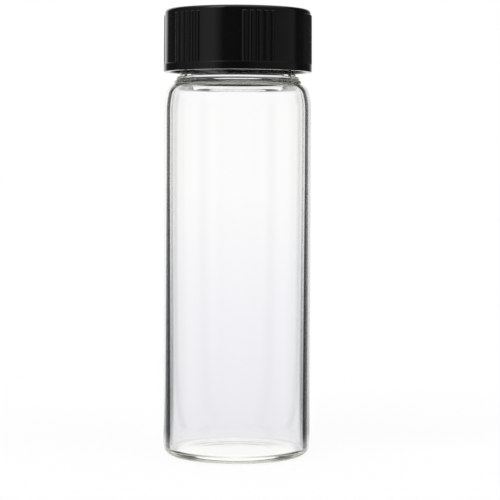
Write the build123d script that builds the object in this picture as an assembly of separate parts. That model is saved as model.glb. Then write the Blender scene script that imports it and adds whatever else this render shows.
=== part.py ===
"""Glass sample vial with a ribbed screw cap and a sealing liner.

Millimetres. +Z is up. The origin is the middle of the foot, on the surface that the vial stands on.
"""

from build123d import *

import math
import os

# Vial barrel and base
OVERALL_HEIGHT = 80.0
BODY_DIAMETER = 26.4
WALL = 1.25
FLOOR_THICKNESS = 1.35
HEEL_RADIUS = 2.0
INNER_HEEL_RADIUS = 0.4
PUSH_UP_HEIGHT = 0.5
FOOT_RING_WIDTH = 2.0

# Shoulder, neck and rim
SHOULDER_HEIGHT = 4.95
SHOULDER_STEP = 2.8
SHOULDER_LEAN = 0.35
SHOULDER_LEAN_HEIGHT = 3.1
SHOULDER_TOP_WALL = 0.5
INNER_SHOULDER_RISE = 0.1
INNER_LEAN = 0.3
INNER_LEAN_HEIGHT = 2.8
MOUTH_FLARE = 1.4
MOUTH_FLARE_HEIGHT = 1.1
FINISH_HEIGHT = 10.15
NECK_WALL = 2.0
RIM_ROUND = 0.45

# Two rolled rings at the foot of the neck, as heights above the neck's surface
RING_HEIGHT = 0.5
RING_FOOT_RELIEF = 0.95
LOWER_RING_RELIEF = 1.0
RING_GROOVE_RELIEF = 0.3
UPPER_RING_RELIEF = 0.62

# Thread that the neck and the cap share
THREAD_PITCH = 3.175
THREAD_DEPTH = 1.25
THREAD_FLANK_DEG = 30.0
THREAD_ROOT_SINK = 0.3
THREAD_RADIAL_CLEARANCE = 0.4
THREAD_FLANK_CLEARANCE = 0.1
NECK_THREAD_DROP = 1.2
NECK_THREAD_SWEEP_DEG = 450.0
NECK_CREST_SHARE = 0.28
NECK_CREST_ROUND_SHARE = 0.3
CAP_THREAD_RISE = 0.3
CAP_THREAD_SWEEP_DEG = 400.0
CAP_CREST_SHARE = 0.19

# Cap
CAP_TOP_THICKNESS = 1.6
CAP_WALL = 1.05
CAP_DRAFT = 0.05
CAP_CORNER_RADIUS = 0.65
SKIRT_GAP = 1.05
SKIRT_LEAD_IN = 0.25
BAND_HEIGHT = 1.4
BAND_RELIEF = 0.2
BAND_EDGE_SHARE = 0.6

# Grip ribs of the cap
RIB_GROUPS = 6
RIBS_PER_GROUP = 5
RIB_PITCH_DEG = 5.6
RIB_PHASE_DEG = -73.7
RIB_RADIUS = 0.6
RIB_RELIEF = 0.18
RIB_TOP_SLOPE = 0.35
RIB_ROOT_SHARE = 0.2

# Liner
LINER_THICKNESS = 1.4
LINER_CLEARANCE = 0.2
LINER_EDGE = 0.15

# Heights and radii that follow from the sizes above
body_radius = BODY_DIAMETER / 2
inner_radius = body_radius - WALL
neck_radius = body_radius - SHOULDER_STEP
mouth_radius = neck_radius - NECK_WALL
rim_z = OVERALL_HEIGHT - CAP_TOP_THICKNESS - LINER_THICKNESS
ring_z = rim_z - FINISH_HEIGHT
neck_foot_z = ring_z + 2 * RING_HEIGHT
shoulder_z = ring_z - SHOULDER_HEIGHT

skirt_z = neck_foot_z + SKIRT_GAP
ledge_z = skirt_z + BAND_HEIGHT
liner_top_z = rim_z + LINER_THICKNESS
cap_bore_radius = neck_radius + THREAD_DEPTH + THREAD_RADIAL_CLEARANCE
panel_radius = cap_bore_radius + CAP_WALL
corner_radius = panel_radius - CAP_DRAFT - CAP_CORNER_RADIUS
corner_z = OVERALL_HEIGHT - CAP_CORNER_RADIUS

flank_slope = math.tan(math.radians(THREAD_FLANK_DEG))
neck_crest_radius = neck_radius + THREAD_DEPTH
neck_crest_half = NECK_CREST_SHARE * THREAD_PITCH / 2
neck_root_half = neck_crest_half + THREAD_DEPTH * flank_slope
neck_thread_rise = THREAD_PITCH * NECK_THREAD_SWEEP_DEG / 360
neck_thread_z = rim_z - NECK_THREAD_DROP - neck_root_half - neck_thread_rise

cap_crest_radius = neck_radius + THREAD_RADIAL_CLEARANCE
cap_crest_half = CAP_CREST_SHARE * THREAD_PITCH / 2
cap_root_half = cap_crest_half + (cap_bore_radius - cap_crest_radius) * flank_slope
cap_thread_z = skirt_z + CAP_THREAD_RISE + cap_root_half


def turned(edges):
    """Solid turned about the vial's axis from a closed outline drawn as radius and height."""
    return revolve(Plane.XZ * make_face(edges), Axis.Z)


def thread(section, radius, start_z, start_deg, sweep_deg):
    """Right-hand thread with the given axial section, from its lowest point upwards."""
    path = Helix(THREAD_PITCH, THREAD_PITCH * sweep_deg / 360, radius)
    ridge = sweep(Plane.XZ * section, path=path, is_frenet=True)
    return Pos(Z=start_z) * Rot(Z=start_deg) * ridge


def thread_section(root_radius, crest_radius, crest_half, root_half):
    """Thread profile between its root and crest, with the root sunk into the wall that carries it."""
    outwards = math.copysign(1, crest_radius - root_radius)
    sunk_radius = root_radius - outwards * THREAD_ROOT_SINK
    sunk_half = root_half + THREAD_ROOT_SINK * flank_slope
    return make_face(
        Polyline(
            (sunk_radius, -sunk_half),
            (crest_radius, -crest_half),
            (crest_radius, crest_half),
            (sunk_radius, sunk_half),
            close=True,
        )
    )


def vial_body():
    """Barrel, base, shoulder and neck: one glass wall of revolution."""
    foot_outer = body_radius - HEEL_RADIUS
    foot_inner = foot_outer - FOOT_RING_WIDTH
    base = [
        TangentArc((0, PUSH_UP_HEIGHT), (foot_inner, 0), tangent=(1, 0)),
        Line((foot_inner, 0), (foot_outer, 0)),
        TangentArc((foot_outer, 0), (body_radius, HEEL_RADIUS), tangent=(1, 0)),
        Line((body_radius, HEEL_RADIUS), (body_radius, shoulder_z)),
    ]

    ring_foot = (neck_radius + RING_FOOT_RELIEF, ring_z)
    lower_crest = (neck_radius + LOWER_RING_RELIEF, ring_z + RING_HEIGHT / 2)
    groove = (neck_radius + RING_GROOVE_RELIEF, ring_z + RING_HEIGHT)
    upper_crest = (neck_radius + UPPER_RING_RELIEF, neck_foot_z - RING_HEIGHT / 2)
    neck_foot = (neck_radius, neck_foot_z)
    lean_end = (body_radius - SHOULDER_LEAN, shoulder_z + SHOULDER_LEAN_HEIGHT)
    lean = TangentArc((body_radius, shoulder_z), lean_end, tangent=(0, 1))
    shoulder = [
        lean,
        TangentArc(lean_end, ring_foot, tangent=lean % 1),
        ThreePointArc(ring_foot, lower_crest, groove),
        ThreePointArc(groove, upper_crest, neck_foot),
    ]

    round_z = rim_z - RIM_ROUND
    rim_outer = (neck_radius - RIM_ROUND, rim_z)
    rim_inner = (mouth_radius + RIM_ROUND, rim_z)
    neck = [
        Line(neck_foot, (neck_radius, round_z)),
        TangentArc((neck_radius, round_z), rim_outer, tangent=(0, 1)),
        Line(rim_outer, rim_inner),
        TangentArc((mouth_radius, round_z), rim_inner, tangent=(0, 1)),
    ]

    # Inside, the shoulder keeps about the wall's thickness, and the mouth flares out into it
    inner_start = (inner_radius, shoulder_z + INNER_SHOULDER_RISE)
    inner_lean_end = (inner_radius - INNER_LEAN, shoulder_z + INNER_SHOULDER_RISE + INNER_LEAN_HEIGHT)
    inner_lean = TangentArc(inner_start, inner_lean_end, tangent=(0, 1))
    flare_z = ring_z - SHOULDER_TOP_WALL
    flare_edge = (mouth_radius + MOUTH_FLARE, flare_z)
    mouth_foot = (mouth_radius, flare_z + MOUTH_FLARE_HEIGHT)
    floor_radius = inner_radius - INNER_HEEL_RADIUS
    floor_middle = (0, PUSH_UP_HEIGHT + FLOOR_THICKNESS)
    floor_edge = (floor_radius, FLOOR_THICKNESS)
    wall_foot = (inner_radius, FLOOR_THICKNESS + INNER_HEEL_RADIUS)
    inside = [
        Line((mouth_radius, round_z), mouth_foot),
        TangentArc(mouth_foot, flare_edge, tangent=(0, -1)),
        TangentArc(inner_lean_end, flare_edge, tangent=inner_lean % 1),
        inner_lean,
        Line(inner_start, wall_foot),
        TangentArc(wall_foot, floor_edge, tangent=(0, -1)),
        TangentArc(floor_middle, floor_edge, tangent=(1, 0)),
        Line(floor_middle, (0, PUSH_UP_HEIGHT)),
    ]
    return turned(base + shoulder + neck + inside)


def neck_thread():
    """Glass thread with rounded crests, whose two ends run out into the neck along flats."""
    section = thread_section(neck_radius, neck_crest_radius, neck_crest_half, neck_root_half)
    crests = section.vertices().sort_by(Axis.X)[-2:]
    section = fillet(crests, NECK_CREST_ROUND_SHARE * 2 * neck_crest_half)
    ridge = thread(section, neck_radius, neck_thread_z, 0, NECK_THREAD_SWEEP_DEG)

    flat_radius = neck_radius - THREAD_ROOT_SINK / 2
    flat_depth = 2 * THREAD_DEPTH
    flat = Box(flat_depth, 2 * neck_radius, THREAD_PITCH, align=(Align.MIN, Align.CENTER, Align.CENTER))
    for end_z, end_deg in (
        (neck_thread_z, 0),
        (neck_thread_z + neck_thread_rise, NECK_THREAD_SWEEP_DEG),
    ):
        ridge -= Pos(Z=end_z) * Rot(Z=end_deg) * Pos(X=flat_radius) * flat
    return ridge


def cap_shell():
    """Cap wall of revolution: top with a rounded edge, drafted skirt and the band round its lower edge."""
    band_radius = panel_radius + BAND_RELIEF
    band_edge = BAND_EDGE_SHARE * BAND_RELIEF
    corner_top = (corner_radius, OVERALL_HEIGHT)
    corner_foot = (corner_radius + CAP_CORNER_RADIUS, corner_z)
    skirt = Polyline(
        corner_foot,
        (panel_radius, ledge_z),
        (band_radius - band_edge, ledge_z),
        (band_radius, ledge_z - band_edge),
        (band_radius, skirt_z + band_edge),
        (band_radius - band_edge, skirt_z),
        (cap_bore_radius + SKIRT_LEAD_IN, skirt_z),
        (cap_bore_radius, skirt_z + SKIRT_LEAD_IN),
        (cap_bore_radius, liner_top_z),
        (0, liner_top_z),
        (0, OVERALL_HEIGHT),
        corner_top,
    )
    return turned([skirt, TangentArc(corner_top, corner_foot, tangent=(1, 0))])


def grip_ribs():
    """Groups of half-round ribs that rise out of the band and slope away just under the top edge."""
    crest_radius = panel_radius + RIB_RELIEF
    round_radius = crest_radius - RIB_RADIUS
    root_z = ledge_z - RIB_ROOT_SHARE * BAND_HEIGHT
    low, high = (round_radius, -RIB_RADIUS), (round_radius, RIB_RADIUS)
    section = make_face([ThreePointArc(low, (crest_radius, 0), high), Line(high, low)])
    upright = Pos(Z=root_z) * extrude(section, corner_z - root_z)
    slope = Polyline(
        (crest_radius, corner_z - RIB_TOP_SLOPE),
        (crest_radius, corner_z),
        (round_radius, corner_z),
        close=True,
    )
    rib = upright - extrude(Plane.XZ * make_face(slope), RIB_RADIUS, both=True)

    ribs = []
    for group in range(RIB_GROUPS):
        middle_deg = RIB_PHASE_DEG + group * 360 / RIB_GROUPS
        for place in range(RIBS_PER_GROUP):
            offset_deg = (place - (RIBS_PER_GROUP - 1) / 2) * RIB_PITCH_DEG
            ribs.append(Rot(Z=middle_deg + offset_deg) * rib)
    return ribs


def cap_thread():
    """Internal thread that hangs just under the neck's thread when the cap is tight."""
    section = thread_section(cap_bore_radius, cap_crest_radius, cap_crest_half, cap_root_half)
    flanks = neck_crest_half + cap_crest_half + (neck_crest_radius - cap_crest_radius) * flank_slope
    drop = flanks + THREAD_FLANK_CLEARANCE
    start_deg = 360 * (cap_thread_z + drop - neck_thread_z) / THREAD_PITCH
    return thread(section, cap_bore_radius, cap_thread_z, start_deg, CAP_THREAD_SWEEP_DEG)


def glass_vial():
    return vial_body() + neck_thread()


def screw_cap():
    return cap_shell() + grip_ribs() + cap_thread()


def cap_liner():
    """Soft disc with eased edges, between the cap's top and the glass rim."""
    radius = cap_bore_radius - LINER_CLEARANCE
    disc = Pos(Z=rim_z) * Cylinder(radius, LINER_THICKNESS, align=(Align.CENTER, Align.CENTER, Align.MIN))
    return chamfer(disc.edges().filter_by(GeomType.CIRCLE), LINER_EDGE)


os.makedirs("parts", exist_ok=True)
export_step(glass_vial(), "parts/glass_vial.step")
export_step(screw_cap(), "parts/screw_cap.step")
export_step(cap_liner(), "parts/cap_liner.step")
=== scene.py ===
import math

import bpy
from mathutils import Matrix, Vector


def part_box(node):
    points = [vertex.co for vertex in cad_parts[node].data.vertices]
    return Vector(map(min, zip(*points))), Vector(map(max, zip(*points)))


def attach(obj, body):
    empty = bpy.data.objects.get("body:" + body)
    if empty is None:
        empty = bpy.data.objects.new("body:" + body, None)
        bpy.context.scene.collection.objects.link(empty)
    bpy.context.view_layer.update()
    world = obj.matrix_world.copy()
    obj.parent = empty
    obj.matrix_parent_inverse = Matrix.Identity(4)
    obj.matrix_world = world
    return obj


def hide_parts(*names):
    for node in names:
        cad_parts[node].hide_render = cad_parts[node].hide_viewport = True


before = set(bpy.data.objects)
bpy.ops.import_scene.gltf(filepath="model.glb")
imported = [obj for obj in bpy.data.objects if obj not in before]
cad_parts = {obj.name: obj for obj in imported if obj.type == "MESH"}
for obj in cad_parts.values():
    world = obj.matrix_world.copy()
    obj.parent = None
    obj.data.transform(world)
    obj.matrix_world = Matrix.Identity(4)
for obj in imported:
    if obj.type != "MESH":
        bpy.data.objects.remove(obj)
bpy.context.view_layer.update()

# Lengths are in metres. The driving sizes of the glass and the cap repeat the solids' own
_, vial_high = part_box("glass_vial")
cap_low, cap_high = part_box("screw_cap")
_, liner_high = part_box("cap_liner")

# Glass barrel, base and shoulder
BODY_RADIUS = 0.0132
WALL = 0.00125
FLOOR_THICKNESS = 0.00135
HEEL_RADIUS = 0.0020
INNER_HEEL_RADIUS = 0.0004
PUSH_UP_HEIGHT = 0.0005
FOOT_RING_WIDTH = 0.0020
SHOULDER_HEIGHT = 0.00495
SHOULDER_STEP = 0.0028
SHOULDER_LEAN = 0.00035
SHOULDER_LEAN_HEIGHT = 0.0031
INNER_SHOULDER_RISE = 0.0001
INNER_LEAN = 0.0003
INNER_LEAN_HEIGHT = 0.0028
SHOULDER_TOP_WALL = 0.0005
MOUTH_FLARE = 0.0014
MOUTH_FLARE_HEIGHT = 0.0011

# Neck, its two rolled rings and its rim
FINISH_HEIGHT = 0.01015
NECK_WALL = 0.0020
RIM_ROUND = 0.00045
RING_HEIGHT = 0.0005
RING_FOOT_RELIEF = 0.00095
LOWER_RING_RELIEF = 0.0010
RING_GROOVE_RELIEF = 0.0003
UPPER_RING_RELIEF = 0.00062

# Threads of the neck and the cap
THREAD_PITCH = 0.003175
THREAD_DEPTH = 0.00125
THREAD_FLANK_SLOPE = math.tan(math.radians(30))
THREAD_BLEND = 0.0003
THREAD_FLAT_SINK = 0.00015
THREAD_FLAT_REACH = math.radians(60)
THREAD_RADIAL_CLEARANCE = 0.0004
THREAD_FLANK_CLEARANCE = 0.0001
NECK_THREAD_DROP = 0.0012
NECK_THREAD_SWEEP = math.radians(450)
NECK_CREST_SHARE = 0.14
CAP_THREAD_RISE = 0.0003
CAP_THREAD_SWEEP = math.radians(400)
CAP_CREST_SHARE = 0.095
CAP_THREAD_FADE = math.radians(14)

# Cap
CAP_WALL = 0.00105
CAP_DRAFT = 0.00005
CAP_CORNER_RADIUS = 0.00065
SKIRT_LEAD_IN = 0.00025
BAND_HEIGHT = 0.0014
BAND_RELIEF = 0.0002
BAND_EDGE = 0.00012
RIB_GROUPS = 6
RIBS_PER_GROUP = 5
RIB_PITCH = math.radians(5.6)
RIB_PHASE = math.radians(-73.7)
RIB_RADIUS = 0.0006
RIB_RELIEF = 0.00018
RIB_TOP_SLOPE = 0.00035
RIB_BLEND = 0.00006

# Mesh fineness
VIAL_COLUMNS = 256
ARC_STEP = math.radians(6)
THREAD_ROW = 0.0001
CAP_THREAD_ROW = 0.0002
RIB_COLUMNS = 16
PANEL_COLUMNS = 16
RIB_SLOPE_ROWS = 16
RIB_SLOPE_START_SHARE = 0.5
PANEL_FOOT_SHARE = 0.125
SHARP_ANGLE = math.radians(38)

# Camera: a long lens a little above the barrel's middle, looking slightly down
CAMERA_DISTANCE = 0.338
CAMERA_HEIGHT = 0.0533
CAMERA_LENS_MM = 135.2
CAMERA_PITCH = math.radians(2.76)
CAMERA_YAW = math.radians(0.395)
CAMERA_ROLL = math.radians(0.24)

# Glass: clear where it is seen straight on, darkened green as painted edge shade where it is seen along its
# surface, and tinted deep inside
GLASS_IOR = 1.47
GLASS_CLEAR = (1, 1, 1, 1)
EDGE_SHADE_TINT = (0.90, 0.93, 0.90, 1)
EDGE_SHADE_FROM = 0.45
EDGE_SHADE_FULL = 0.75
GLASS_DEEP = (1.0, 1.0, 0.66, 1)
GLASS_DENSITY = 7.0
GLASS_SHADOW = (0.93, 0.94, 0.94, 1)
GLASS_BOUNCES = 160

# Cap plastic and liner foam
PLASTIC_BLACK = (0.0015, 0.0015, 0.0018, 1)
PLASTIC_IOR = 1.5
PLASTIC_ROUGHNESS_LOW = 0.07
PLASTIC_ROUGHNESS_HIGH = 0.12
PLASTIC_CLOUD_SCALE = 260.0
PLASTIC_GRAIN_SCALE = 2600.0
PLASTIC_GRAIN_DEPTH = 0.00002
PLASTIC_GRAIN_STRENGTH = 0.05
FOAM_SHADE_LOW = 0.82
FOAM_SHADE_HIGH = 0.9
FOAM_BLUE = 0.83
FOAM_ROUGHNESS = 0.85
FOAM_CELL_SCALE = 3200.0
FOAM_CELL_DEPTH = 0.00008
FOAM_CELL_STRENGTH = 0.3

# White windows of the studio, which only light through glass meets: depth of the dark gaps beside each,
# by degrees off its middle
GAP_LEVELS = [(0, 0), (21, 0), (25, 0.95), (37, 0.95), (40, 0), (45, 0)]
SIDE_GAP_LEVELS = [(0, 0), (16, 0), (27, 0.45), (31, 0.45), (42, 0), (45, 0)]
FRONT_GAPS = 0.08
GAP_HEIGHT = math.radians(28)
GAP_FADE = math.radians(12)
GAP_TURN_FADE = 0.1

# The same gaps painted on the table as a painted reflection for light through glass, wider close by, from
# the place where light leaves the barrel's side
EXIT_ACROSS = 0.0130
EXIT_ALONG = -0.0025
GAP_START_NEAR = math.radians(14)
GAP_START = math.radians(21)
GAP_END_NEAR = math.radians(42)
GAP_END = math.radians(37)
GAP_NEAR = 0.0135
GAP_FAR = 0.0155
SIDE_GAP_NEAR = 0.020
SIDE_GAP_FAR = 0.030
GAP_REFLECTION_FROM = 1 - math.sin(math.radians(13))
GAP_REFLECTION_FULL = 1 - math.sin(math.radians(9.5))

# Painted shadow on the table under the heel, also for light through glass only
FOOT_SHADOW_FROM = 0.0108
FOOT_SHADOW_TO = 0.0160
FOOT_SHADOW_SOFT = 0.0006
FOOT_SHADE_FULL = 0.0110
FOOT_SHADE_BACK = 0.15
FOOT_BACK_FROM = -0.004
FOOT_BACK_TO = 0.005

# Table: its painted shade through glass goes by d / (d + TABLE_SCALE), with d the distance from the vial's
# axis
WHITE = (1, 1, 1, 1)
TABLE_SHADE_TONES = [
    (0, WHITE),
    (0.035, WHITE),
    (0.05, (0.835, 0.835, 0.87, 1)),
    (0.2, (0.875, 0.875, 0.91, 1)),
    (0.6, (0.94, 0.94, 0.975, 1)),
    (0.9, WHITE),
    (1, WHITE),
]
TABLE_SCALE = 0.3
TABLE_PAINT = (0.9, 0.9, 0.9, 1)
TABLE_GLOW = 0.75
TABLE_NEAR = 0.018
TABLE_FAR = 0.035
TABLE_RADIUS = 4.0
TABLE_DROP = 0.0001
TABLE_COLUMNS = 96

# Room that the part mirrors: its levels by degrees round from the camera's side, a lamp and a ceiling
MIRROR_LEVELS = [
    (-180, 1.0), (-152, 1.0), (-142, 0.06), (-117, 0.06), (-100, 0.15), (-64, 0.28), (-53, 0.41),
    (-38, 0.42), (-23, 0.08), (8, 0.06), (33, 0.16), (75, 0.20), (96, 0.21), (105, 0.045),
    (140, 0.045), (152, 0.12), (165, 0.8), (180, 1.0),
]
LAMP_LEVEL = 2.3
LAMP_TURN_FROM = math.radians(-57)
LAMP_TURN_TO = math.radians(-28)
LAMP_RISE_FROM = math.radians(36)
LAMP_RISE_TO = math.radians(62)
LAMP_SOFT = math.radians(4)
CEILING_LEVEL = 0.8
CEILING_FROM = math.radians(56)
CEILING_SOFT = math.radians(16)
ROOM_GREY = (0.6, 0.6, 0.6, 1)

# Soft lamps over the table
SUN_SPREAD = math.radians(40)

# Heights and radii that follow
inner_radius = BODY_RADIUS - WALL
neck_radius = BODY_RADIUS - SHOULDER_STEP
mouth_radius = neck_radius - NECK_WALL
rim_z = vial_high.z
ring_z = rim_z - FINISH_HEIGHT
neck_foot_z = ring_z + 2 * RING_HEIGHT
shoulder_z = ring_z - SHOULDER_HEIGHT
round_z = rim_z - RIM_ROUND
neck_crest_radius = neck_radius + THREAD_DEPTH
neck_crest_half = NECK_CREST_SHARE * THREAD_PITCH
neck_root_half = neck_crest_half + THREAD_DEPTH * THREAD_FLANK_SLOPE
neck_thread_rise = THREAD_PITCH * NECK_THREAD_SWEEP / math.tau
neck_thread_z = rim_z - NECK_THREAD_DROP - neck_root_half - neck_thread_rise
skirt_z = cap_low.z
ledge_z = skirt_z + BAND_HEIGHT
cap_top_z = cap_high.z
corner_z = cap_top_z - CAP_CORNER_RADIUS
cap_bore_radius = neck_crest_radius + THREAD_RADIAL_CLEARANCE
cap_crest_radius = neck_radius + THREAD_RADIAL_CLEARANCE
cap_depth = cap_bore_radius - cap_crest_radius
cap_crest_half = CAP_CREST_SHARE * THREAD_PITCH
cap_root_half = cap_crest_half + cap_depth * THREAD_FLANK_SLOPE
cap_thread_z = skirt_z + CAP_THREAD_RISE + cap_root_half
panel_radius = cap_bore_radius + CAP_WALL
band_radius = panel_radius + BAND_RELIEF


def arc(start, end, tangent):
    """Points of the arc that leaves start along tangent and ends at end, start left out."""
    start, end, along = Vector(start), Vector(end), Vector(tangent).normalized()
    chord = end - start
    across = Vector((-along.y, along.x))
    sweep = 2 * math.atan2(chord.dot(across), chord.dot(along))
    centre = start + across * (chord.length_squared / (2 * chord.dot(across)))
    steps = max(2, math.ceil(abs(sweep) / ARC_STEP))
    spoke = start - centre
    return [tuple(centre + Matrix.Rotation(sweep * i / steps, 2) @ spoke) for i in range(1, steps + 1)]


def arc_through(start, middle, end):
    """Points of the arc from start through middle to end, start left out."""
    start, middle, end = Vector(start), Vector(middle), Vector(end)
    whole, last = end - start, end - middle
    # The tangent leans off the first chord by the angle between the other two
    lean = math.atan2(whole.x * last.y - whole.y * last.x, whole.dot(last))
    return arc(start, end, Matrix.Rotation(-lean, 2) @ (middle - start))


def blend_up(a, b, width):
    """The larger of two values, rounded where they meet."""
    share = max(width - abs(a - b), 0) / width
    return max(a, b) + share * share * width / 4


def blend_down(a, b, width):
    """The smaller of two values, rounded where they meet."""
    return -blend_up(-a, -b, width)


def turned_mesh(name, rows):
    """Closed mesh of revolution from rows of points, one point per column or a lone one on the axis."""
    points, faces, starts = [], [], []
    for row in rows:
        starts.append(len(points))
        points += row
    columns = max(len(row) for row in rows)
    for i in range(len(rows) - 1):
        for j in range(columns):
            k = (j + 1) % columns
            low = [starts[i] + j, starts[i] + k] if len(rows[i]) > 1 else [starts[i]]
            high = [starts[i + 1] + k, starts[i + 1] + j] if len(rows[i + 1]) > 1 else [starts[i + 1]]
            faces.append(low + high)
    mesh = bpy.data.meshes.new(name)
    mesh.from_pydata(points, [], faces)
    mesh.shade_smooth()
    mesh.set_sharp_from_angle(angle=SHARP_ANGLE)
    piece = bpy.data.objects.new(name, mesh)
    bpy.context.scene.collection.objects.link(piece)
    return piece


def ring(angles, radius, z):
    """One row of points: a circle, or a single point on the axis. The radius may depend on the angle."""
    if radius == 0:
        return [(0, 0, z)]
    radii = [radius(a) if callable(radius) else radius for a in angles]
    return [(r * math.cos(a), r * math.sin(a), z) for r, a in zip(radii, angles)]


def neck_thread_relief(angle, z):
    """Height of the glass thread above the neck, with its two ends running out along flats."""
    relief = 0
    flat_radius = neck_radius - THREAD_FLAT_SINK
    for turn in (0, math.tau):
        along = angle + turn
        if along > NECK_THREAD_SWEEP:
            continue
        offset = abs(z - neck_thread_z - THREAD_PITCH * along / math.tau)
        height = (neck_root_half - offset) / THREAD_FLANK_SLOPE
        height = blend_down(height, THREAD_DEPTH, THREAD_BLEND)
        nearest_end = min(along, NECK_THREAD_SWEEP - along)
        if nearest_end < THREAD_FLAT_REACH:
            height = min(height, flat_radius / math.cos(nearest_end) - neck_radius)
        relief = max(relief, blend_up(height, 0, THREAD_BLEND / 2) if height > -THREAD_BLEND else 0)
    return relief


def vial_rows(angles):
    """The glass wall from the middle of the base, up the outside, over the rim and down the inside."""
    foot_outer = BODY_RADIUS - HEEL_RADIUS
    foot_inner = foot_outer - FOOT_RING_WIDTH
    ring_foot = (neck_radius + RING_FOOT_RELIEF, ring_z)
    lower_crest = (neck_radius + LOWER_RING_RELIEF, ring_z + RING_HEIGHT / 2)
    groove = (neck_radius + RING_GROOVE_RELIEF, ring_z + RING_HEIGHT)
    upper_crest = (neck_radius + UPPER_RING_RELIEF, neck_foot_z - RING_HEIGHT / 2)
    neck_foot = (neck_radius, neck_foot_z)
    lean_end = (BODY_RADIUS - SHOULDER_LEAN, shoulder_z + SHOULDER_LEAN_HEIGHT)
    lean = 2 * math.atan2(SHOULDER_LEAN, SHOULDER_LEAN_HEIGHT)
    outside = [(0, PUSH_UP_HEIGHT)]
    outside += arc((0, PUSH_UP_HEIGHT), (foot_inner, 0), (1, 0))
    outside += [(foot_outer, 0)]
    outside += arc((foot_outer, 0), (BODY_RADIUS, HEEL_RADIUS), (1, 0))
    outside += [(BODY_RADIUS, shoulder_z)]
    outside += arc((BODY_RADIUS, shoulder_z), lean_end, (0, 1))
    outside += arc(lean_end, ring_foot, (-math.sin(lean), math.cos(lean)))
    outside += arc_through(ring_foot, lower_crest, groove)
    outside += arc_through(groove, upper_crest, neck_foot)

    rim_inner = (mouth_radius + RIM_ROUND, rim_z)
    rim = arc((neck_radius, round_z), (neck_radius - RIM_ROUND, rim_z), (0, 1))
    rim += [rim_inner]
    rim += arc(rim_inner, (mouth_radius, round_z), (-1, 0))

    inner_start = (inner_radius, shoulder_z + INNER_SHOULDER_RISE)
    inner_lean_end = (inner_radius - INNER_LEAN, inner_start[1] + INNER_LEAN_HEIGHT)
    inner_lean = 2 * math.atan2(INNER_LEAN, INNER_LEAN_HEIGHT)
    flare_edge = (mouth_radius + MOUTH_FLARE, ring_z - SHOULDER_TOP_WALL)
    mouth_foot = (mouth_radius, flare_edge[1] + MOUTH_FLARE_HEIGHT)
    floor_edge = (inner_radius - INNER_HEEL_RADIUS, FLOOR_THICKNESS)
    floor_middle = (0, PUSH_UP_HEIGHT + FLOOR_THICKNESS)
    wall_foot = (inner_radius, FLOOR_THICKNESS + INNER_HEEL_RADIUS)
    inside = [mouth_foot]
    inside += arc(mouth_foot, flare_edge, (0, -1))
    inside += arc(inner_lean_end, flare_edge, (-math.sin(inner_lean), math.cos(inner_lean)))[-2::-1]
    inside += [inner_lean_end]
    inside += arc(inner_start, inner_lean_end, (0, 1))[-2::-1]
    inside += [inner_start, wall_foot]
    inside += arc(wall_foot, floor_edge, (0, -1))
    inside += arc(floor_middle, floor_edge, (1, 0))[-2::-1]
    inside += [floor_middle]

    neck_steps = math.ceil((round_z - neck_foot_z) / THREAD_ROW)
    rows = [ring(angles, r, z) for r, z in outside]
    for i in range(1, neck_steps + 1):
        z = neck_foot_z + (round_z - neck_foot_z) * i / neck_steps
        rows.append(ring(angles, lambda a, z=z: neck_radius + neck_thread_relief(a, z), z))
    return rows + [ring(angles, r, z) for r, z in rim + inside]


def cap_angles():
    """Columns of the cap: close together over each group of ribs and wider over the smooth panels."""
    group = math.tau / RIB_GROUPS
    ribbed = RIBS_PER_GROUP * RIB_PITCH
    angles = []
    for i in range(RIB_GROUPS):
        start = RIB_PHASE + i * group - ribbed / 2
        steps = RIBS_PER_GROUP * RIB_COLUMNS
        angles += [start + ribbed * j / steps for j in range(steps)]
        smooth = group - ribbed
        angles += [start + ribbed + smooth * j / PANEL_COLUMNS for j in range(PANEL_COLUMNS)]
    return angles


def rib_relief(angle, z):
    """Height of the half-round grip ribs above the panel, sloping away under the cap's rounded edge."""
    group = math.tau / RIB_GROUPS
    offset = (angle - RIB_PHASE + group / 2) % group - group / 2
    outermost = (RIBS_PER_GROUP - 1) / 2
    place = min(max(round(offset / RIB_PITCH), -outermost), outermost)
    across = panel_radius * (offset - place * RIB_PITCH)
    if abs(across) > RIB_RADIUS:
        return 0
    height = math.sqrt(RIB_RADIUS**2 - across**2) - RIB_RADIUS + RIB_RELIEF
    sloped = RIB_RELIEF + (corner_z - RIB_TOP_SLOPE - z) * RIB_RADIUS / RIB_TOP_SLOPE
    height = blend_down(height, sloped, RIB_BLEND * 2)
    return blend_up(height, 0, RIB_BLEND) if height > -RIB_BLEND else 0


def cap_thread_relief(angle, z):
    """Height of the cap's inner thread, which lies just under the neck's thread when the cap is tight."""
    meshing_depth = neck_crest_radius - cap_crest_radius
    flanks = neck_crest_half + cap_crest_half + meshing_depth * THREAD_FLANK_SLOPE
    start_z = cap_thread_z + flanks + THREAD_FLANK_CLEARANCE
    start = math.tau * (start_z - neck_thread_z) / THREAD_PITCH
    relief = 0
    for turn in (0, math.tau):
        along = (angle - start) % math.tau + turn
        if along > CAP_THREAD_SWEEP:
            continue
        offset = abs(z - cap_thread_z - THREAD_PITCH * along / math.tau)
        height = min((cap_root_half - offset) / THREAD_FLANK_SLOPE, cap_depth)
        fade = min(min(along, CAP_THREAD_SWEEP - along) / CAP_THREAD_FADE, 1)
        relief = max(relief, height * fade)
    return relief


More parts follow.
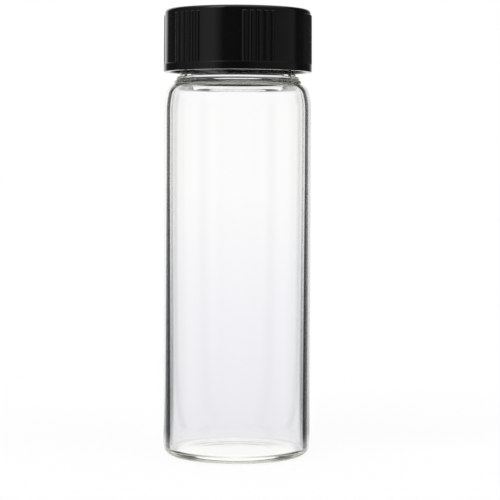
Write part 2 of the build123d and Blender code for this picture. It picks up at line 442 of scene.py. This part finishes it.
def cap_rows(angles):
    """The cap from the middle of its top, down the outside, round the skirt and up the threaded inside."""
    corner_radius = panel_radius - CAP_DRAFT - CAP_CORNER_RADIUS
    inside_top_z = liner_high.z
    rows = [ring(angles, 0, cap_top_z), ring(angles, corner_radius, cap_top_z)]
    for r, z in arc((corner_radius, cap_top_z), (corner_radius + CAP_CORNER_RADIUS, corner_z), (1, 0)):
        rows.append(ring(angles, r, z))

    def panel(z):
        drafted = panel_radius - CAP_DRAFT * (z - ledge_z) / (corner_z - ledge_z)
        rows.append(ring(angles, lambda a: drafted + rib_relief(a, z), z))

    for i in range(RIB_SLOPE_ROWS):
        panel(corner_z - RIB_TOP_SLOPE * (RIB_SLOPE_START_SHARE + i / RIB_SLOPE_ROWS))
    panel(ledge_z + BAND_EDGE)
    panel(ledge_z + BAND_EDGE * PANEL_FOOT_SHARE)
    ledge = (band_radius - BAND_EDGE, ledge_z)
    for r, z in [ledge] + arc(ledge, (band_radius, ledge_z - BAND_EDGE), (1, 0)):
        rows.append(ring(angles, lambda a, r=r: max(r, panel_radius + rib_relief(a, ledge_z)), z))
    band_foot = (band_radius, skirt_z + BAND_EDGE)
    for r, z in [band_foot] + arc(band_foot, (band_radius - BAND_EDGE, skirt_z), (0, -1)):
        rows.append(ring(angles, r, z))
    rows.append(ring(angles, cap_bore_radius + SKIRT_LEAD_IN, skirt_z))
    thread_low_z = skirt_z + SKIRT_LEAD_IN
    steps = math.ceil((inside_top_z - thread_low_z) / CAP_THREAD_ROW)
    for i in range(steps + 1):
        z = thread_low_z + (inside_top_z - thread_low_z) * i / steps
        rows.append(ring(angles, lambda a, z=z: cap_bore_radius - cap_thread_relief(a, z), z))
    rows.append(ring(angles, 0, inside_top_z))
    return rows[::-1]


def add(tree, kind, **inputs):
    """New shader node. Keys are input names with spaces as underscores, and links are output sockets."""
    node = tree.nodes.new("ShaderNode" + kind)
    for key, value in inputs.items():
        socket = node.inputs[int(key[1:])] if key[0] == "_" else node.inputs[key.replace("_", " ")]
        if isinstance(value, bpy.types.NodeSocket):
            tree.links.new(value, socket)
        else:
            socket.default_value = value
    return node


def math_node(tree, operation, *values):
    """Output of a new math node."""
    node = add(tree, "Math", **{f"_{i}": value for i, value in enumerate(values)})
    node.operation = operation
    return node.outputs[0]


def ramp(tree, value, low, high, stops):
    """Grey level or colour along a value: each stop is a place between low and high with its level."""
    share = math_node(tree, "DIVIDE", math_node(tree, "SUBTRACT", value, low), high - low)
    node = add(tree, "ValToRGB", Fac=share)
    elements = node.color_ramp.elements
    for i, (place, level) in enumerate(stops):
        position = (place - low) / (high - low)
        stop = elements[i] if i < 2 else elements.new(position)
        stop.position = position
        stop.color = level if isinstance(level, tuple) else (level, level, level, 1)
    return node.outputs["Color"]


def in_radians(levels):
    """The same levels with their places turned from degrees to radians."""
    return [(math.radians(place), level) for place, level in levels]


def map_range(tree, value, low, high, to_low=0.0, to_high=1.0):
    """The value's place between low and high, held between to_low and to_high."""
    node = add(tree, "MapRange", Value=value, From_Min=low, From_Max=high, To_Min=to_low, To_Max=to_high)
    return node.outputs[0]


def between(tree, value, low, high, soft):
    """1 between low and high, fading to 0 over a soft edge outside them."""
    rise = map_range(tree, value, low - soft, low)
    fall = map_range(tree, value, high, high + soft)
    return math_node(tree, "SUBTRACT", rise, fall)


def mix(tree, share, first, second):
    """Shader that goes from the first to the second as the share goes from 0 to 1."""
    return add(tree, "MixShader", Fac=share, _1=first, _2=second).outputs[0]


def by_ray(tree, soft, seen, mirrored, through):
    """Shader for soft bounces, for the camera, for mirrored light and for light through glass."""
    path = add(tree, "LightPath").outputs
    shader = mix(tree, path["Is Camera Ray"], soft, seen)
    shader = mix(tree, path["Is Glossy Ray"], shader, mirrored)
    return mix(tree, path["Is Transmission Ray"], shader, through)


def new_material(name):
    """Empty node material and its tree."""
    material = bpy.data.materials.new(name)
    material.use_nodes = True
    material.node_tree.nodes.clear()
    return material, material.node_tree


def glass_material():
    """Clear tubing glass, darkened green at grazing angles as painted edge shade. Shadow rays and soft
    bounces go straight through it.
    """
    material, tree = new_material("clear_glass")
    # Painted edge shade: the glass turns a green grey where it is seen at a grazing angle
    facing = add(tree, "LayerWeight", Blend=0.5).outputs["Facing"]
    edge_shade_tints = [
        (0, GLASS_CLEAR),
        (EDGE_SHADE_FROM, GLASS_CLEAR),
        (EDGE_SHADE_FULL, EDGE_SHADE_TINT),
        (1, EDGE_SHADE_TINT),
    ]
    glass = add(
        tree,
        "BsdfPrincipled",
        Base_Color=ramp(tree, facing, 0, 1, edge_shade_tints),
        Roughness=0.0,
        IOR=GLASS_IOR,
        Transmission_Weight=1.0,
    )
    path = add(tree, "LightPath").outputs
    passing = math_node(tree, "MAXIMUM", path["Is Shadow Ray"], path["Is Diffuse Ray"])
    clear = add(tree, "BsdfTransparent", Color=GLASS_SHADOW)
    surface = mix(tree, passing, glass.outputs[0], clear.outputs[0])
    depth = add(tree, "VolumeAbsorption", Color=GLASS_DEEP, Density=GLASS_DENSITY)
    add(tree, "OutputMaterial", Surface=surface, Volume=depth.outputs[0])
    return material


def cap_material():
    """Glossy black moulded plastic with a fine moulding texture."""
    material, tree = new_material("black_plastic")
    place = add(tree, "TexCoord").outputs["Object"]
    grain = add(tree, "TexNoise", Vector=place, Scale=PLASTIC_GRAIN_SCALE, Detail=3.0)
    cloud = add(tree, "TexNoise", Vector=place, Scale=PLASTIC_CLOUD_SCALE, Detail=4.0)
    roughness = map_range(
        tree, cloud.outputs["Fac"], 0.0, 1.0, to_low=PLASTIC_ROUGHNESS_LOW, to_high=PLASTIC_ROUGHNESS_HIGH
    )
    bump = add(
        tree,
        "Bump",
        Strength=PLASTIC_GRAIN_STRENGTH,
        Distance=PLASTIC_GRAIN_DEPTH,
        Height=grain.outputs["Fac"],
    )
    plastic = add(
        tree,
        "BsdfPrincipled",
        Base_Color=PLASTIC_BLACK,
        Roughness=roughness,
        IOR=PLASTIC_IOR,
        Normal=bump.outputs[0],
    )
    add(tree, "OutputMaterial", Surface=plastic.outputs[0])
    return material


def liner_material():
    """Off-white foam sheet with fine closed cells."""
    material, tree = new_material("liner_foam")
    place = add(tree, "TexCoord").outputs["Object"]
    cells = add(tree, "TexVoronoi", Vector=place, Scale=FOAM_CELL_SCALE).outputs["Distance"]
    shade = map_range(tree, cells, 0.0, 1.0, to_low=FOAM_SHADE_LOW, to_high=FOAM_SHADE_HIGH)
    colour = add(tree, "CombineColor", Red=shade, Green=shade, Blue=FOAM_BLUE)
    bump = add(tree, "Bump", Strength=FOAM_CELL_STRENGTH, Distance=FOAM_CELL_DEPTH, Height=cells)
    foam = add(
        tree,
        "BsdfPrincipled",
        Base_Color=colour.outputs[0],
        Roughness=FOAM_ROUGHNESS,
        Normal=bump.outputs[0],
    )
    add(tree, "OutputMaterial", Surface=foam.outputs[0])
    return material


def window_gaps(tree, back_fold, side_fold, y, fade):
    """Depth of the dark gaps beside the back and side windows, which draw the edges of what glass shows.

    The folds are angles off the middle of a window. The gaps are strong beside the window behind the part,
    on the +Y side, and faint beside the one in front.
    """
    back = ramp(tree, back_fold, 0, math.pi / 4, in_radians(GAP_LEVELS))
    side = ramp(tree, side_fold, 0, math.pi / 4, in_radians(SIDE_GAP_LEVELS))
    behind = map_range(tree, y, -fade, fade, to_low=FRONT_GAPS)
    return math_node(tree, "MULTIPLY", back, behind), side


def mirror_light(tree, x, y):
    """Level of the mirrored room, white behind and dim elsewhere, and the turn that it follows."""
    turn = math_node(tree, "ARCTAN2", x, math_node(tree, "MULTIPLY", y, -1.0))
    return ramp(tree, turn, -math.pi, math.pi, in_radians(MIRROR_LEVELS)), turn


def studio_world():
    """White to the camera, windows to the light through glass, and a dim room to what is mirrored."""
    world = bpy.data.worlds.new("studio")
    world.use_nodes = True
    tree = world.node_tree
    tree.nodes.clear()
    x, y, z = add(tree, "SeparateXYZ", Vector=add(tree, "TexCoord").outputs["Generated"]).outputs
    height = math_node(tree, "ARCSINE", z)
    aside = math_node(tree, "ABSOLUTE", x)
    away = math_node(tree, "ABSOLUTE", y)
    back_fold = math_node(tree, "ARCTAN2", aside, away)
    side_fold = math_node(tree, "ARCTAN2", away, aside)
    back, side = window_gaps(tree, back_fold, side_fold, y, GAP_TURN_FADE)
    low = between(tree, height, -math.pi, GAP_HEIGHT, GAP_FADE)
    gap = math_node(tree, "MULTIPLY", math_node(tree, "MAXIMUM", back, side), low)
    windows = math_node(tree, "SUBTRACT", 1.0, gap)

    walls, turn = mirror_light(tree, x, y)
    lamp_turn = between(tree, turn, LAMP_TURN_FROM, LAMP_TURN_TO, LAMP_SOFT)
    lamp_rise = between(tree, height, LAMP_RISE_FROM, LAMP_RISE_TO, LAMP_SOFT)
    lamp = math_node(tree, "MULTIPLY", math_node(tree, "MULTIPLY", lamp_turn, lamp_rise), LAMP_LEVEL)
    overhead = between(tree, height, CEILING_FROM, math.pi, CEILING_SOFT)
    ceiling = math_node(tree, "MULTIPLY", overhead, CEILING_LEVEL)
    room = math_node(tree, "MAXIMUM", math_node(tree, "MAXIMUM", walls, ceiling), lamp)

    colours = (ROOM_GREY, WHITE, room, windows)
    lights = [add(tree, "Background", Color=colour).outputs[0] for colour in colours]
    add(tree, "OutputWorld", Surface=by_ray(tree, *lights))
    bpy.context.scene.world = world


def exit_fold(tree, sideways, onwards, distance):
    """Angle off a window's middle on the table, for light that leaves the barrel's side.

    It is stretched so that the gaps are wider close by.
    """
    across = math_node(tree, "MAXIMUM", math_node(tree, "SUBTRACT", sideways, EXIT_ACROSS), 0.0)
    fold = math_node(tree, "ARCTAN2", across, math_node(tree, "SUBTRACT", onwards, EXIT_ALONG))
    start = map_range(tree, distance, 0.0, 1.0, to_low=GAP_START_NEAR, to_high=GAP_START)
    end = map_range(tree, distance, 0.0, 1.0, to_low=GAP_END_NEAR, to_high=GAP_END)
    stretched = add(
        tree, "MapRange", Value=fold, From_Min=start, From_Max=end, To_Min=GAP_START, To_Max=GAP_END
    )
    stretched.clamp = False
    return stretched.outputs[0]


def table_gap(tree, x, y, reach, distance):
    """Depth of the painted shade on the table for light through glass: the windows' gaps, painted as a
    reflection, and the foot's painted shadow.
    """
    aside = math_node(tree, "ABSOLUTE", x)
    away = math_node(tree, "ABSOLUTE", y)
    back_fold = exit_fold(tree, aside, away, distance)
    side_fold = exit_fold(tree, away, aside, distance)
    back, side = window_gaps(tree, back_fold, side_fold, y, BODY_RADIUS)
    off_side = map_range(tree, aside, SIDE_GAP_NEAR, SIDE_GAP_FAR)
    gap = math_node(tree, "MAXIMUM", back, math_node(tree, "MULTIPLY", side, off_side))
    # The gaps are a painted reflection on the table, shown only at a low angle, and not under the base
    facing = add(tree, "LayerWeight", Blend=0.5).outputs["Facing"]
    painted_reflection = map_range(tree, facing, GAP_REFLECTION_FROM, GAP_REFLECTION_FULL)
    off_base = map_range(tree, reach, GAP_NEAR, GAP_FAR)
    gap = math_node(tree, "MULTIPLY", gap, math_node(tree, "MULTIPLY", painted_reflection, off_base))
    # The painted shadow under the heel is deeper at the sides, and faint towards the white wall behind
    contact = between(tree, reach, FOOT_SHADOW_FROM, FOOT_SHADOW_TO, FOOT_SHADOW_SOFT)
    depth = map_range(tree, aside, 0.0, FOOT_SHADE_FULL)
    ahead = map_range(tree, y, FOOT_BACK_FROM, FOOT_BACK_TO, to_low=1.0, to_high=FOOT_SHADE_BACK)
    shade = math_node(tree, "MULTIPLY", contact, math_node(tree, "MULTIPLY", depth, ahead))
    return math_node(tree, "MAXIMUM", gap, shade)


def floor_material():
    """White table: soft shadow for the camera, painted shade and window gaps for what glass lets through,
    and a painted dim room for what is mirrored.
    """
    material, tree = new_material("white_floor")
    place = add(tree, "NewGeometry").outputs["Position"]
    x, y, _ = add(tree, "SeparateXYZ", Vector=place).outputs
    length = add(tree, "VectorMath", Vector=place)
    length.operation = "LENGTH"
    reach = length.outputs["Value"]
    distance = math_node(tree, "DIVIDE", reach, math_node(tree, "ADD", reach, TABLE_SCALE))
    white = add(tree, "BsdfDiffuse", Color=TABLE_PAINT).outputs[0]
    glow = add(tree, "Emission", Color=WHITE, Strength=1.0).outputs[0]

    # Through glass the table shows painted shade: grey tones by distance, darkened further by the painted
    # gaps and the painted foot shadow
    light_left = math_node(tree, "SUBTRACT", 1.0, table_gap(tree, x, y, reach, distance))
    painted_through = add(tree, "VectorMath", _0=ramp(tree, distance, 0, 1, TABLE_SHADE_TONES), _1=light_left)
    painted_through.operation = "MULTIPLY"
    through = add(tree, "Emission", Color=painted_through.outputs[0], Strength=1.0).outputs[0]

    # The part mirrors the white table close by, and further off a painted reflection of the dim room on the
    # table
    far = map_range(tree, reach, TABLE_NEAR, TABLE_FAR)
    walls, _ = mirror_light(tree, x, y)
    dim = math_node(tree, "MULTIPLY", far, math_node(tree, "SUBTRACT", 1.0, walls))
    mirrored = add(tree, "Emission", Color=math_node(tree, "SUBTRACT", 1.0, dim), Strength=1.0).outputs[0]

    surface = by_ray(tree, white, mix(tree, TABLE_GLOW, white, glow), mirrored, through)
    add(tree, "OutputMaterial", Surface=surface)
    return material


def floor():
    """Round white table, a hair under the glass foot."""
    angles = [math.tau * i / TABLE_COLUMNS for i in range(TABLE_COLUMNS)]
    mesh = bpy.data.meshes.new("floor")
    mesh.from_pydata(ring(angles, TABLE_RADIUS, -TABLE_DROP), [], [list(range(TABLE_COLUMNS))])
    mesh.materials.append(floor_material())
    table = bpy.data.objects.new("floor", mesh)
    bpy.context.scene.collection.objects.link(table)


def sunlight(name, slant, turn, strength):
    """Wide soft lamp that lights the whole table evenly and isn't mirrored. Its angles are in degrees."""
    lamp = bpy.data.lights.new(name, "SUN")
    lamp.angle = SUN_SPREAD
    lamp.energy = strength
    sun = bpy.data.objects.new(name, lamp)
    sun.rotation_euler = (math.radians(slant), 0, math.radians(turn))
    sun.visible_glossy = False
    sun.visible_transmission = False
    bpy.context.scene.collection.objects.link(sun)


def camera():
    """Camera in front of the part, on its -Y side."""
    lens = bpy.data.cameras.new("camera")
    lens.lens = CAMERA_LENS_MM
    eye = bpy.data.objects.new("camera", lens)
    eye.matrix_world = (
        Matrix.Translation((0, -CAMERA_DISTANCE, CAMERA_HEIGHT))
        @ Matrix.Rotation(-CAMERA_YAW, 4, "Z")
        @ Matrix.Rotation(math.pi / 2 - CAMERA_PITCH, 4, "X")
        @ Matrix.Rotation(CAMERA_ROLL, 4, "Z")
    )
    bpy.context.scene.collection.objects.link(eye)
    bpy.context.scene.camera = eye


def glass_vial():
    """The glass, in a finer mesh than the solid's."""
    angles = [math.tau * i / VIAL_COLUMNS for i in range(VIAL_COLUMNS)]
    vial = turned_mesh("vial_glass", vial_rows(angles))
    vial.data.materials.append(glass_material())
    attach(vial, "vial")
    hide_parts("glass_vial")


def screw_cap():
    """The cap, in a finer mesh than the solid's, with its ribs blended into the panels."""
    cap = turned_mesh("ribbed_cap", cap_rows(cap_angles()))
    cap.data.materials.append(cap_material())
    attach(cap, "cap")
    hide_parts("screw_cap")


def cap_liner():
    """The liner keeps its solid and gets the foam's material."""
    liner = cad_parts["cap_liner"]
    liner.data.materials.clear()
    liner.data.materials.append(liner_material())


glass_vial()
screw_cap()
cap_liner()
floor()
studio_world()
sunlight("key_light", slant=42, turn=-38, strength=1.4)
sunlight("fill_light", slant=38, turn=50, strength=0.7)
camera()

# Light runs far inside a glass wall, so it needs more bounces than a room, or the base turns black
cycles = bpy.context.scene.cycles
cycles.max_bounces = GLASS_BOUNCES
cycles.glossy_bounces = GLASS_BOUNCES
cycles.transmission_bounces = GLASS_BOUNCES

bpy.context.scene.view_settings.view_transform = "Standard"
